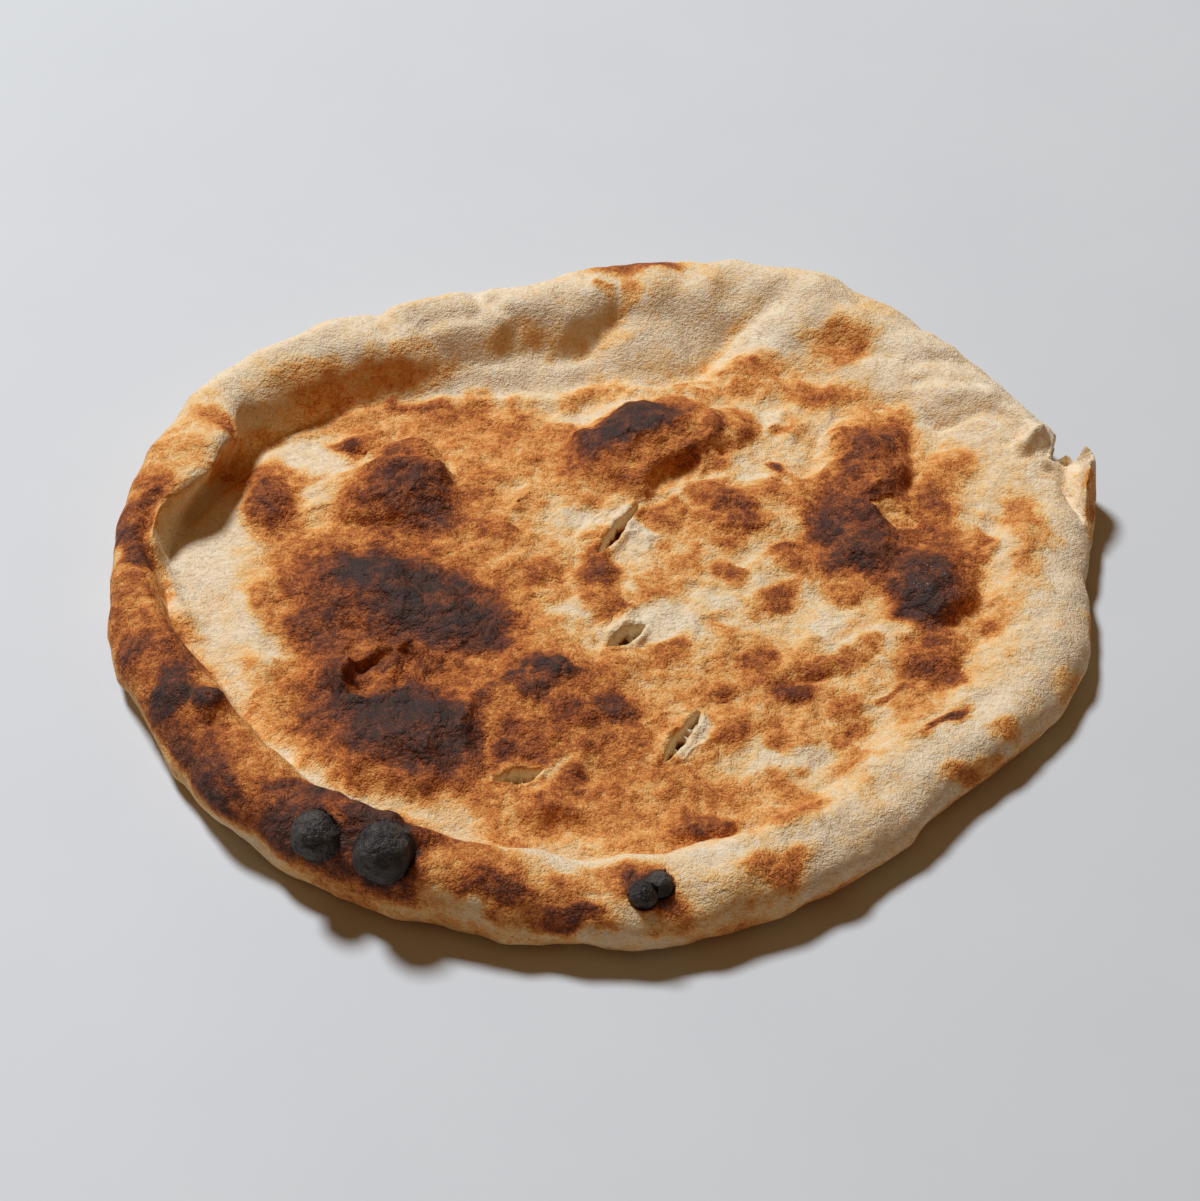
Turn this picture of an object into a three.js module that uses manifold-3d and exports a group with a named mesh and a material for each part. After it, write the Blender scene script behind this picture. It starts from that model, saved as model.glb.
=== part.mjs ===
// A large round pita, hand-stretched and baked on a hot floor: one solid, lying on its flat underside.
//
// The bread is a low plate with bubbled crumb in the middle and a rolled rim that changes round the edge.
// Four docking slits are cut into the top, the rim is torn through at one place beside a lip of
// lifted crust, and round blisters stand out of the front of the rim.
//
// Frame: millimetres, +Z up, X across the widest way, Y from front to back.
// Origin: on the board, below the middle of the whole bread.

import * as THREE from "three";
import { mergeVertices } from "three/addons/utils/BufferGeometryUtils.js";
import Module from "manifold-3d";

const wasm = await Module();
wasm.setup();

// ---------------------------------------------------------------- driving dimensions, millimetres

const BREAD_WIDTH = 297; // across X, edge to edge, without the lifted lip
const BREAD_DEPTH = 282; // across Y, edge to edge
const RIM_HEIGHT = 24; // the highest stretch of the rolled rim above the board
const RIM_WIDTH = 32; // the widest stretch of the roll, from its outer edge to where it meets the plate
const PLATE_HEIGHT = 12; // top of the crumb at the middle of the bread
const BASE_SKIN = 3; // crust left under a docking slit
const SLIT_GAPE = 4; // how far a docking slit has opened at its middle
const TEAR_WIDTH = 5; // mouth of the tear through the rim
const TEAR_LENGTH = 11; // from its mouth to its root
const LIP_HEIGHT = 8; // how far the tip of the lifted crust stands above the rim
const LIP_THICKNESS = 3;
const LIP_OVERHANG = 4; // how far the tip leans out past the edge

// How finely the surface is divided.
const AROUND = 108; // columns round the bread
const PLATE_ROWS = 12; // from the middle to the foot of the roll
const INNER_ROWS = 5; // up the inside of the roll
const OUTER_ROWS = 5; // from the crest out to the edge
const UNDER_ROWS = 4; // from the edge under to the base
const BASE_ROWS = 5; // across the base, back to the middle
const ROWS = PLATE_ROWS + INNER_ROWS + OUTER_ROWS + UNDER_ROWS + BASE_ROWS;

// ---------------------------------------------------------------- shape round the edge
// Each list holds evenly spaced stations, starting at +X and going anticlockwise seen from above.

// Outline as a share of the plain ellipse, every 15 degrees.
const OUTLINE = [
  0.936, 1.004, 1.027, 1.032, 1.076, 1.076, 1.007, 0.94, 0.959, 1.003, 1.028, 1.006,
  0.992, 0.985, 0.98, 1.0, 1.009, 1.002, 0.999, 0.974, 0.928, 0.889, 0.911, 0.946,
];
// The rest are every 30 degrees.
const CREST_LEVEL = [0.58, 0.67, 0.79, 0.94, 1.0, 0.96, 0.76, 0.92, 0.96, 0.84, 0.68, 0.62]; // of RIM_HEIGHT
const ROLL_LEVEL = [1.0, 0.9, 0.94, 0.92, 0.85, 0.88, 0.54, 0.84, 0.88, 0.92, 0.85, 0.98]; // of RIM_WIDTH
const FOOT_LEVEL = [0.92, 0.9, 0.85, 0.68, 0.6, 0.6, 0.66, 0.68, 0.68, 0.72, 0.86, 0.96]; // of PLATE_HEIGHT

// How far in the inner side of the rim runs before it meets the plate, as a share of the roll's own width.
const SLOPE_LEVEL = [1.0, 1.2, 1.6, 1.75, 1.45, 1.0, 1.0, 1.0, 1.0, 1.0, 1.0, 1.0];
// 1 makes the inner side of the rim an even slope; more makes it plumper.
const FULLNESS = [2.2, 1.6, 1.1, 1.0, 1.4, 2.2, 2.2, 2.2, 2.2, 2.2, 2.2, 2.2];

const CREST_INSET = 0.42; // the crest's place across the roll, from the outer edge
const EDGE_LEVEL = 0.42; // height of the outermost line, as a share of the crest
const TUCK_INSET = 0.34; // where the underside meets the board, across the roll
const PLATE_FLAT = 0.4; // share of the way out over which the plate stays level

// ---------------------------------------------------------------- features
// east and north are shares of the half width and the half depth; turn is degrees anticlockwise from +X.

const BUBBLES = [
  { east: 0.06, north: 0.4, long: 48, wide: 36, turn: 10, rise: 7 },
  { east: 0.52, north: 0.25, long: 62, wide: 34, turn: 80, rise: 6 },
  { east: 0.64, north: -0.08, long: 32, wide: 28, turn: 70, rise: 5.5 },
  { east: -0.45, north: 0.25, long: 44, wide: 36, turn: 20, rise: 6 },
  { east: -0.7, north: 0.22, long: 26, wide: 22, turn: 90, rise: 4.5 },
  { east: -0.46, north: -0.12, long: 60, wide: 38, turn: -20, rise: 4.5 },
  { east: -0.4, north: -0.46, long: 46, wide: 38, turn: 20, rise: 5 },
  { east: 0.59, north: -0.33, long: 28, wide: 18, turn: 15, rise: 2.5 },
  { east: -0.1, north: -0.36, long: 30, wide: 22, turn: -10, rise: 2.5 },
  { east: -0.51, north: -0.79, long: 36, wide: 18, turn: -25, rise: 2.5 },
  { east: -0.74, north: -0.5, long: 26, wide: 16, turn: 120, rise: 2.5 },
];

const SLITS = [
  { east: 0.0, north: 0.1, length: 21, turn: 68 },
  { east: 0.03, north: -0.22, length: 13, turn: 48 },
  { east: 0.13, north: -0.51, length: 21, turn: 62 },
  { east: -0.17, north: -0.61, length: 14, turn: 20 },
];

// Round blisters half sunk in the rim: clock angle in degrees, distance in from the edge, diameter.
const BLISTERS = [
  { clock: 237, inset: 3.5, diameter: 13.5 },
  { clock: 245.5, inset: 4, diameter: 16.5 },
  { clock: 272.5, inset: 4, diameter: 8 },
  { clock: 275.5, inset: 6, diameter: 10 },
];

const TEAR_CLOCK = 20.5; // where the mouth of the tear is
const TEAR_HEADING = 64; // the way its mouth faces, in degrees anticlockwise from +X
const LIP_FOOT_CLOCK = 5; // where the lifted crust leaves the rim
const LIP_TIP_CLOCK = 18; // where it ends, beside the tear

// ---------------------------------------------------------------- plan and section of the loaf

const radians = THREE.MathUtils.degToRad;
const smooth = (from, to, x) => THREE.MathUtils.smoothstep(x, from, to);

// Value at an angle of a closed ring of evenly spaced stations, by Catmull-Rom.
function ringValue(stations, angle) {
  const count = stations.length;
  const place = THREE.MathUtils.euclideanModulo(angle / (2 * Math.PI), 1) * count;
  const first = Math.floor(place);
  const t = place - first;
  const [a, b, c, d] = [-1, 0, 1, 2].map((k) => stations[(first + k + count) % count]);
  return b + 0.5 * t * (c - a + t * (2 * a - 5 * b + 4 * c - d + t * (3 * (b - c) + d - a)));
}

// The outline in a direction, before it is brought to the bread's width and depth.
function outlinePoint(angle) {
  return new THREE.Vector2(Math.cos(angle), Math.sin(angle)).multiplyScalar(ringValue(OUTLINE, angle));
}

const columnAngle = (column) => ((column % AROUND) / AROUND) * 2 * Math.PI;
const PLAN = new THREE.Box2().setFromPoints(
  Array.from({ length: AROUND }, (_, column) => outlinePoint(columnAngle(column))),
);
const PLAN_MIDDLE = PLAN.getCenter(new THREE.Vector2());
const PLAN_SPAN = PLAN.getSize(new THREE.Vector2());

// The outermost point of the bread in a direction.
function edgePoint(angle) {
  const size = new THREE.Vector2(BREAD_WIDTH, BREAD_DEPTH);
  return outlinePoint(angle).sub(PLAN_MIDDLE).divide(PLAN_SPAN).multiply(size);
}

// The sizes of the rolled rim in a direction.
function rimAt(angle) {
  const crest = ringValue(CREST_LEVEL, angle) * RIM_HEIGHT;
  const roll = ringValue(ROLL_LEVEL, angle) * RIM_WIDTH;
  const slope = ringValue(SLOPE_LEVEL, angle) * roll;
  const foot = Math.min(ringValue(FOOT_LEVEL, angle) * PLATE_HEIGHT, crest);
  return { crest, roll, slope, foot, edge: crest * EDGE_LEVEL };
}

// Height of the smooth upper surface at a distance in from the edge, with the distance to the middle.
function upperHeight(inset, angle, reach) {
  const { crest, roll, slope, foot, edge } = rimAt(angle);
  const ridge = roll * CREST_INSET;
  if (inset < ridge) {
    const out = 1 - inset / ridge;
    return edge + (crest - edge) * Math.sqrt(Math.max(0, 1 - out * out));
  }
  if (inset < slope) {
    const across = (inset - ridge) / (slope - ridge);
    return foot + (crest - foot) * (1 - smooth(0, 1, across ** ringValue(FULLNESS, angle)));
  }
  const out = (reach - inset) / (reach - slope);
  return THREE.MathUtils.lerp(PLATE_HEIGHT, foot, smooth(PLATE_FLAT, 1, out));
}

// How far the bubbles lift the top at a place in plan.
function bubbleLift(place) {
  let lift = 0;
  for (const { east, north, long, wide, turn, rise } of BUBBLES) {
    const offset = place.clone().sub(planPlace(east, north)).rotateAround(ORIGIN, -radians(turn));
    const off = Math.hypot(offset.x / (long / 2), offset.y / (wide / 2));
    if (off < 1) lift += rise * Math.cos((off * Math.PI) / 2) ** 2;
  }
  return lift;
}

const ORIGIN = new THREE.Vector2(0, 0);

function planPlace(east, north) {
  return new THREE.Vector2((east * BREAD_WIDTH) / 2, (north * BREAD_DEPTH) / 2);
}

// A point of the skin: row counts from the middle of the top, over the rim, to the middle of the base.
function skinPoint(row, angle) {
  const edge = edgePoint(angle);
  const reach = edge.length();
  const rim = rimAt(angle);
  const ridge = rim.roll * CREST_INSET;
  const tuck = rim.roll * TUCK_INSET;
  let inset;
  let height;
  let step = row;
  if (step <= PLATE_ROWS) {
    inset = THREE.MathUtils.lerp(reach, rim.slope, step / PLATE_ROWS);
    height = upperHeight(inset, angle, reach);
  } else if ((step -= PLATE_ROWS) <= INNER_ROWS) {
    inset = THREE.MathUtils.lerp(rim.slope, ridge, step / INNER_ROWS);
    height = upperHeight(inset, angle, reach);
  } else if ((step -= INNER_ROWS) <= OUTER_ROWS) {
    const sweep = (step / OUTER_ROWS) * (Math.PI / 2);
    inset = ridge * (1 - Math.sin(sweep));
    height = rim.edge + (rim.crest - rim.edge) * Math.cos(sweep);
  } else if ((step -= OUTER_ROWS) <= UNDER_ROWS) {
    const sweep = (step / UNDER_ROWS) * (Math.PI / 2);
    inset = tuck * (1 - Math.cos(sweep));
    height = rim.edge * (1 - Math.sin(sweep));
  } else {
    step -= UNDER_ROWS;
    inset = THREE.MathUtils.lerp(tuck, reach, step / BASE_ROWS);
    height = 0;
  }
  const place = edge.clone().multiplyScalar(1 - inset / reach);
  const isTop = row < PLATE_ROWS + INNER_ROWS + OUTER_ROWS;
  return new THREE.Vector3(place.x, place.y, height + (isTop ? bubbleLift(place) : 0));
}

// A sphere's grid pushed onto the bread's skin, so that the body is closed at both poles.
function loafGeometry() {
  const geometry = new THREE.SphereGeometry(1, AROUND, ROWS);
  const position = geometry.getAttribute("position");
  for (let row = 0; row <= ROWS; row++) {
    for (let column = 0; column <= AROUND; column++) {
      const { x, y, z } = skinPoint(row, columnAngle(column));
      position.setXYZ(row * (AROUND + 1) + column, x, y, z);
    }
  }
  return geometry;
}

// ---------------------------------------------------------------- cuts and additions

// Plan place and surface height at a distance in from the edge.
function rimPlace(clock, inset) {
  const angle = radians(clock);
  const edge = edgePoint(angle);
  const place = edge.clone().multiplyScalar(1 - inset / edge.length());
  return { place, height: upperHeight(Math.max(inset, 0), angle, edge.length()) };
}

// A pointed oval seen from above, its length along X.
function lensShape(length, gape) {
  const half = length / 2;
  const shape = new THREE.Shape();
  shape.moveTo(-half, 0);
  shape.quadraticCurveTo(0, -gape, half, 0);
  shape.quadraticCurveTo(0, gape, -half, 0);
  return shape;
}

// A docking slit's cutter, which leaves the base skin whole.
function slitCutter({ east, north, length, turn }) {
  const place = planPlace(east, north);
  const tall = PLATE_HEIGHT + RIM_HEIGHT;
  return new THREE.ExtrudeGeometry(lensShape(length, SLIT_GAPE), {
    depth: tall,
    bevelEnabled: false,
    curveSegments: 5,
  })
    .rotateZ(radians(turn))
    .translate(place.x, place.y, BASE_SKIN);
}

// The cutter of the tear: a wedge with a round root, open at the rim's edge, through the whole rim.
function tearCutter() {
  const { place } = rimPlace(TEAR_CLOCK, 0);
  const root = TEAR_WIDTH / 4;
  const beyond = TEAR_LENGTH;
  const flare = (TEAR_WIDTH / 2 - root) / (TEAR_LENGTH - root);
  const mouth = TEAR_WIDTH / 2 + flare * beyond;
  const wedge = new THREE.Shape();
  wedge.moveTo(beyond, -mouth);
  wedge.lineTo(beyond, mouth);
  wedge.lineTo(root - TEAR_LENGTH, root);
  wedge.absarc(root - TEAR_LENGTH, 0, root, Math.PI / 2, (3 * Math.PI) / 2, false);
  wedge.closePath();
  return new THREE.ExtrudeGeometry(wedge, {
    depth: RIM_HEIGHT * 3,
    bevelEnabled: false,
    curveSegments: 5,
  })
    .rotateZ(radians(TEAR_HEADING))
    .translate(place.x, place.y, -RIM_HEIGHT);
}

// The crust lifted beside the tear: a low sail along the edge that rises from its foot to its tip.
function lipGeometry() {
  const foot = rimPlace(LIP_FOOT_CLOCK, LIP_THICKNESS);
  const tip = rimPlace(LIP_TIP_CLOCK, -LIP_OVERHANG);
  const crest = rimPlace(LIP_TIP_CLOCK, LIP_THICKNESS).height;
  const run = tip.place.clone().sub(foot.place);
  const length = run.length();
  const sail = new THREE.Shape();
  sail.moveTo(0, foot.height / 2);
  sail.lineTo(length * 0.85, tip.height);
  sail.lineTo(length, crest);
  sail.quadraticCurveTo(length * 1.02, crest + LIP_HEIGHT * 0.7, length * 0.96, crest + LIP_HEIGHT);
  sail.quadraticCurveTo(length * 0.6, crest + LIP_HEIGHT * 0.3, 0, foot.height);
  sail.closePath();
  return new THREE.ExtrudeGeometry(sail, {
    depth: LIP_THICKNESS,
    bevelEnabled: false,
    curveSegments: 6,
  })
    .translate(0, 0, -LIP_THICKNESS / 2)
    .rotateX(Math.PI / 2)
    .rotateZ(run.angle())
    .translate(foot.place.x, foot.place.y, 0);
}

function blisterGeometry({ clock, inset, diameter }) {
  const { place, height } = rimPlace(clock, inset);
  return new THREE.SphereGeometry(diameter / 2, 16, 12)
    .rotateX(Math.PI / 2)
    .translate(place.x, place.y, height);
}

// ---------------------------------------------------------------- solids

function toSolid(geometry) {
  const bare = new THREE.BufferGeometry();
  bare.setAttribute("position", geometry.getAttribute("position"));
  bare.setIndex(geometry.getIndex());
  const merged = mergeVertices(bare, 1e-3);
  return new wasm.Manifold(
    new wasm.Mesh({
      numProp: 3,
      vertProperties: new Float32Array(merged.getAttribute("position").array),
      triVerts: new Uint32Array(merged.getIndex().array),
    }),
  );
}

function toGeometry(solid) {
  const { vertProperties, triVerts } = solid.getMesh();
  return new THREE.BufferGeometry()
    .setAttribute("position", new THREE.BufferAttribute(new Float32Array(vertProperties), 3))
    .setIndex(new THREE.BufferAttribute(new Uint32Array(triVerts), 1));
}

function breadSolid() {
  let bread = toSolid(loafGeometry());
  for (const blister of BLISTERS) bread = bread.add(toSolid(blisterGeometry(blister)));
  bread = bread.add(toSolid(lipGeometry())).subtract(toSolid(tearCutter()));
  for (const slit of SLITS) bread = bread.subtract(toSolid(slitCutter(slit)));
  return bread;
}

const crust = new THREE.MeshStandardMaterial({ color: 0xc08a52, roughness: 0.85, metalness: 0 });

const pita = new THREE.Mesh(toGeometry(breadSolid()), crust);
pita.name = "pita_bread";
pita.geometry.computeBoundingBox();
const middle = pita.geometry.boundingBox.getCenter(new THREE.Vector3());
pita.position.set(-middle.x, -middle.y, -pita.geometry.boundingBox.min.z);

const root = new THREE.Group();
root.add(pita);

export default root;
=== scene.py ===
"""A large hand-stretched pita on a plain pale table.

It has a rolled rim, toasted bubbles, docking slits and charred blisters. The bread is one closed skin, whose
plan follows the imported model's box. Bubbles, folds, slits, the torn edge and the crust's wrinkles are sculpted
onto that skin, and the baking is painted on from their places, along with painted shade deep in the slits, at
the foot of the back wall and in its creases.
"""

import itertools
import math

import bmesh
import bpy
import numpy as np
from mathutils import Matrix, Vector


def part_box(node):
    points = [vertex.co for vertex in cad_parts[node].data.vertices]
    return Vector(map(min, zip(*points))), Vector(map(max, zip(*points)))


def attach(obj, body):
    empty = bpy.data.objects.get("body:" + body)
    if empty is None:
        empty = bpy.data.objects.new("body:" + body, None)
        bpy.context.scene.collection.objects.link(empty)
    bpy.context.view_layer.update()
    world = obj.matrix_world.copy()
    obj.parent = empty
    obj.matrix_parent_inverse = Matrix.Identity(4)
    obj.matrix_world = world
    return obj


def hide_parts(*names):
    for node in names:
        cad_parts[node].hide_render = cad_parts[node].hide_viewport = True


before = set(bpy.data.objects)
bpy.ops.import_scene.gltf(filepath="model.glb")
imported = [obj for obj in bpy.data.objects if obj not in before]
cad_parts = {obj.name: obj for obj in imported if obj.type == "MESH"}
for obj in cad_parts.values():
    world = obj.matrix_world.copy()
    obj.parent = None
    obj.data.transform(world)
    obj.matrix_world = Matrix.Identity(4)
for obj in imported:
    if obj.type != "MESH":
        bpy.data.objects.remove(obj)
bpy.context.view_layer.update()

MM = 0.001  # the sculpting is done in millimetres and brought to metres at the end
BREAD = "pita_bread"

LOW, HIGH = (np.array(corner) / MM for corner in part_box(BREAD))
HALF = (HIGH - LOW)[:2] / 2
HALF_X, HALF_Y = HALF
LIP_REACH = 3.0  # how much of the width is the torn lip, past the rim's edge

# ------------------------------------------------------------------ the loaf's plan and section

# Rings of evenly spaced stations, from +X anticlockwise seen from above.
OUTLINE = [
    0.936, 1.004, 1.027, 1.032, 1.076, 1.076, 1.007, 0.94, 0.959, 1.003, 1.028, 1.006,
    0.992, 0.985, 0.98, 1.0, 1.009, 1.002, 0.999, 0.974, 0.928, 0.889, 0.911, 0.946,
]
CREST = [14, 16, 19, 22.5, 24, 23, 18.5, 22, 23, 20, 16.5, 15]  # height of the rolled rim
ROLL = [32, 29, 30, 29, 27, 28, 17, 27, 28, 29, 27, 31]  # width of the rolled rim
SLOPE = [1.0, 1.2, 1.6, 1.75, 1.45, 1.0, 1.0, 1.0, 1.0, 1.0, 1.0, 1.0]  # reach of its inner side, of its width
FULLNESS = [2.2, 1.6, 1.1, 1.0, 1.4, 2.2, 2.2, 2.2, 2.2, 2.2, 2.2, 2.2]  # 1 is an even slope, more is plumper
FOOT = [11, 11, 10, 8, 7, 7, 8, 8, 8, 9, 10.5, 11.5]  # height of the crumb at the foot of the roll
BROWN_REACH = [0.87, 0.76, 0.74, 0.63, 0.7, 0.78, 0.72, 0.78, 0.77, 0.82, 0.88, 0.86]  # of the way out
PLATE_HEIGHT = 12.0
PLATE_FLAT = 0.4  # share of the way out over which the plate stays level
CREST_INSET = 0.42  # the crest's place across the roll, from the outer edge
EDGE_LEVEL = 0.42  # height of the outermost line, as a share of the crest
TUCK_INSET = 0.34  # where the underside meets the table, across the roll
BASE_INSET = 0.39  # where the underside's own grid begins, across the roll

TOP_RINGS = 98  # from the middle to the crest of the rim
SIDE_RINGS = 17  # from the crest out to the edge
TUCK_RINGS = 6  # from the edge under to the table


def ring_value(stations, angle):
    """Value at an angle of a closed ring of stations, by Catmull-Rom."""
    count = len(stations)
    ring = np.array(stations, float)
    place = angle / (2 * np.pi) % 1 * count
    first = np.floor(place).astype(int)
    t = place - first
    a, b, c, d = (ring[(first + k) % count] for k in (-1, 0, 1, 2))
    return b + 0.5 * t * (c - a + t * (2 * a - 5 * b + 4 * c - d + t * (3 * (b - c) + d - a)))


def smooth(low, high, value):
    """0 below low, 1 above high, and a soft step between; high may be under low."""
    t = np.clip((value - low) / (high - low), 0, 1)
    return t * t * (3 - 2 * t)


def bell(distance, width):
    """1 at no distance and near 0 from twice the width on, either way."""
    return np.exp(-((distance / width) ** 2))


def dome(share, sharpness):
    """1 in the middle of a patch and 0 from its edge on."""
    return np.cos(np.clip(share, 0, 1) * np.pi / 2) ** sharpness


def between_ends(where, taper):
    """1 along a path, with a soft end over a share of it at either end."""
    return smooth(0, taper, where) * smooth(1, 1 - taper, where)


def towards(value, target, share):
    """The value brought a share of the way to the target."""
    return value + (target - value) * share


def raw_edge(angle):
    return np.stack([np.cos(angle), np.sin(angle)], axis=-1) * ring_value(OUTLINE, angle)[..., None]


ALL_ROUND = np.linspace(0, 2 * np.pi, 361)
EDGE_LOW, EDGE_HIGH = raw_edge(ALL_ROUND).min(0), raw_edge(ALL_ROUND).max(0)


def edge_point(angle):
    """The outermost point of the rim in a direction, without the torn lip."""
    share = (raw_edge(angle) - EDGE_LOW) / (EDGE_HIGH - EDGE_LOW)
    span = 2 * HALF - (LIP_REACH, 0)
    return -HALF + share * span


def rim_sizes(angle):
    return ring_value(CREST, angle), ring_value(ROLL, angle), ring_value(FOOT, angle)


def top_height(inset, angle, reach):
    """Height of the smooth top at a distance in from the edge."""
    crest, roll, foot = rim_sizes(angle)
    ridge = roll * CREST_INSET
    slope = roll * ring_value(SLOPE, angle)
    across = np.clip((inset - ridge) / (slope - ridge), 0, 1)
    inner = foot + (crest - foot) * (1 - smooth(0, 1, across ** ring_value(FULLNESS, angle)))
    plate = PLATE_HEIGHT + (foot - PLATE_HEIGHT) * smooth(PLATE_FLAT, 1, (reach - inset) / (reach - slope))
    return np.where(inset < slope, inner, plate)


def square_grid(rings):
    """A grid of (2 rings + 1) squared points laid in rings: each point's ring and its angle round it."""
    i, j = np.meshgrid(np.arange(-rings, rings + 1), np.arange(-rings, rings + 1), indexing="ij")
    ring = np.maximum(abs(i), abs(j))
    safe = np.maximum(ring, 1)
    eighth = np.pi / 4
    angle = np.select(
        [(i == ring) & (j > -ring), (j == ring), (i == -ring)],
        [j / safe * eighth, np.pi / 2 - i / safe * eighth, np.pi - j / safe * eighth],
        1.5 * np.pi + i / safe * eighth,
    )
    return ring, angle % (2 * np.pi)


def grid_rim(rings):
    """The indices of the grid's outermost points, anticlockwise from +X."""
    side = 2 * rings + 1
    walk = [(rings, j) for j in range(0, rings)]
    walk += [(i, rings) for i in range(rings, -rings, -1)]
    walk += [(-rings, j) for j in range(rings, -rings, -1)]
    walk += [(i, -rings) for i in range(-rings, rings)]
    walk += [(rings, j) for j in range(-rings, 0)]
    return np.array([(i + rings) * side + j + rings for i, j in walk])


def grid_faces(rings):
    side = 2 * rings + 1
    i, j = np.meshgrid(np.arange(side - 1), np.arange(side - 1), indexing="ij")
    corner = (i * side + j).ravel()
    return np.stack([corner, corner + side, corner + side + 1, corner + 1], axis=1)


def stitch(fine, coarse):
    """Triangles between a ring of points and a ring inside it with half as many."""
    even, odd, after = fine[::2], fine[1::2], np.roll(fine, -2)[::2]
    near, far = coarse, np.roll(coarse, -1)
    bands = ([even, near, odd], [odd, near, far], [odd, far, after])
    return np.concatenate([np.stack(band, axis=1) for band in bands])


def smooth_loaf():
    """The bare loaf: points, quads, triangles, places on the unrolled skin, and the underside's first quad."""
    ring, angle = square_grid(TOP_RINGS)
    share, angle = (ring / TOP_RINGS).ravel(), angle.ravel()
    edge = edge_point(angle)
    reach = np.hypot(*edge.T)
    crest, roll, _ = rim_sizes(angle)
    ridge = roll * CREST_INSET
    inset = reach - share * (reach - ridge)
    plan = edge * (1 - inset / reach)[:, None]
    points = [np.c_[plan, top_height(inset, angle, reach)]]
    spread = [np.c_[np.cos(angle), np.sin(angle)] * share[:, None] * TOP_RINGS]

    walk = grid_rim(TOP_RINGS)
    round_angle = angle[walk]
    edge, reach = edge[walk], reach[walk]
    crest, roll, ridge = crest[walk], roll[walk], ridge[walk]
    low = crest * EDGE_LEVEL
    tuck = roll * TUCK_INSET
    rows = [walk]
    count = len(angle)
    for step in range(1, SIDE_RINGS + TUCK_RINGS + 1):
        if step <= SIDE_RINGS:
            sweep = step / SIDE_RINGS * np.pi / 2
            inset, height = ridge * (1 - math.sin(sweep)), low + (crest - low) * math.cos(sweep)
        else:
            sweep = (step - SIDE_RINGS) / TUCK_RINGS * np.pi / 2
            inset, height = tuck * (1 - math.cos(sweep)), low * (1 - math.sin(sweep))
        points.append(np.c_[edge * (1 - inset / reach)[:, None], height])
        spread.append(np.c_[np.cos(round_angle), np.sin(round_angle)] * (TOP_RINGS + step))
        rows.append(count + np.arange(len(walk)))
        count += len(walk)
    faces = [grid_faces(TOP_RINGS)]
    for inner, outer in zip(rows, rows[1:]):
        faces.append(np.stack([inner, outer, np.roll(outer, -1), np.roll(inner, -1)], axis=1))

    base_rings = TOP_RINGS // 2
    ring, angle = square_grid(base_rings)
    share, angle = (ring / base_rings).ravel(), angle.ravel()
    edge = edge_point(angle)
    rest = 1 - ring_value(ROLL, angle) * BASE_INSET / np.hypot(*edge.T)
    points.append(np.c_[edge * (rest * share)[:, None], np.zeros(len(share))])
    spread.append(points[-1][:, :2])
    faces.append(grid_faces(base_rings)[:, ::-1] + count)
    triangles = stitch(rows[-1], grid_rim(base_rings) + count).tolist()
    underside_from = sum(len(block) for block in faces[:-1])
    quads = np.concatenate(faces).tolist()
    return np.concatenate(points), quads, triangles, np.concatenate(spread), underside_from


# ------------------------------------------------------------------ noise for wrinkles and blotches


def lattice(cells, seed):
    """A pseudo-random number from 0 to 1 for each whole-numbered cell."""
    mask = 0xFFFFFFFF
    mixed = (cells[:, 0] * 374761393 + cells[:, 1] * 668265263 + cells[:, 2] * 362437 + seed * 974711) & mask
    mixed = ((mixed ^ (mixed >> 13)) * 1274126177) & mask
    mixed = ((mixed ^ (mixed >> 15)) * 974634777) & mask
    return ((mixed ^ (mixed >> 16)) & 0xFFFFFF) / float(0x1000000)


def swell(points, size, seed):
    """Smooth noise from about -1 to 1 whose swells are size apart."""
    scaled = points / size
    cell = np.floor(scaled).astype(np.int64)
    offset = scaled - cell
    fade = offset**3 * (offset * (offset * 6 - 15) + 10)
    total = np.zeros(len(points))
    for corner in itertools.product((0, 1), repeat=3):
        weight = np.prod(np.where(corner, fade, 1 - fade), axis=1)
        slope = np.stack([lattice(cell + corner, seed + axis) for axis in range(3)], axis=1) * 2 - 1
        total += weight * (slope * (offset - corner)).sum(1)
    return total * 1.7


def rough(points, size, seed, octaves=3):
    """Swells with finer swells on them."""
    total = np.zeros(len(points))
    for octave in range(octaves):
        total += swell(points, size / 2**octave, seed + 7 * octave) / 2**octave
    return total / 1.4


def pimples(points, size, seed):
    """0 to 1: the roundness of scattered blisters about size apart, each of its own strength."""
    scaled = points / size
    cell = np.floor(scaled).astype(np.int64)
    best = np.zeros(len(points))
    for corner in itertools.product((-1, 0, 1), repeat=3):
        near = cell + corner
        centre = near + np.stack([lattice(near, seed + axis) for axis in range(3)], axis=1)
        away = ((scaled - centre) ** 2).sum(1)
        strength = lattice(near, seed + 5)
        best = np.maximum(best, np.clip(1 - away / 0.42, 0, 1) * (0.25 + 0.75 * strength))
    return best


# ------------------------------------------------------------------ places on the bread
# East and north are counted in units of PLACE_UNIT from PLACE_MIDDLE. Sizes are in millimetres. Turns are in
# degrees anticlockwise from +X.
PLACE_UNIT = np.array([150.0, 138.0])
PLACE_MIDDLE = np.array([0.0, -0.5])

# Smooth bubbles: east, north, long, wide, turn, rise.
BUBBLES = [
    (0.51, 0.05, 46, 32, -50, 4.5),
    (-0.42, 0.20, 46, 32, -10, 3.0),
    (-0.69, 0.22, 34, 24, -75, 5.5),
    (-0.45, -0.06, 54, 34, -22, 4.5),
    (-0.36, -0.18, 40, 30, -25, 3.5),
    (-0.53, -0.33, 34, 18, -63, 3.0),
    (0.26, 0.42, 26, 18, 68, 3.0),
    (-0.10, -0.42, 66, 52, -15, 2.5),
    (-0.10, -0.34, 24, 15, 0, 2.4),
    (-0.14, -0.71, 46, 20, -10, 2.5),
    (0.26, 0.18, 26, 20, -60, 2.5),
]

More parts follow.
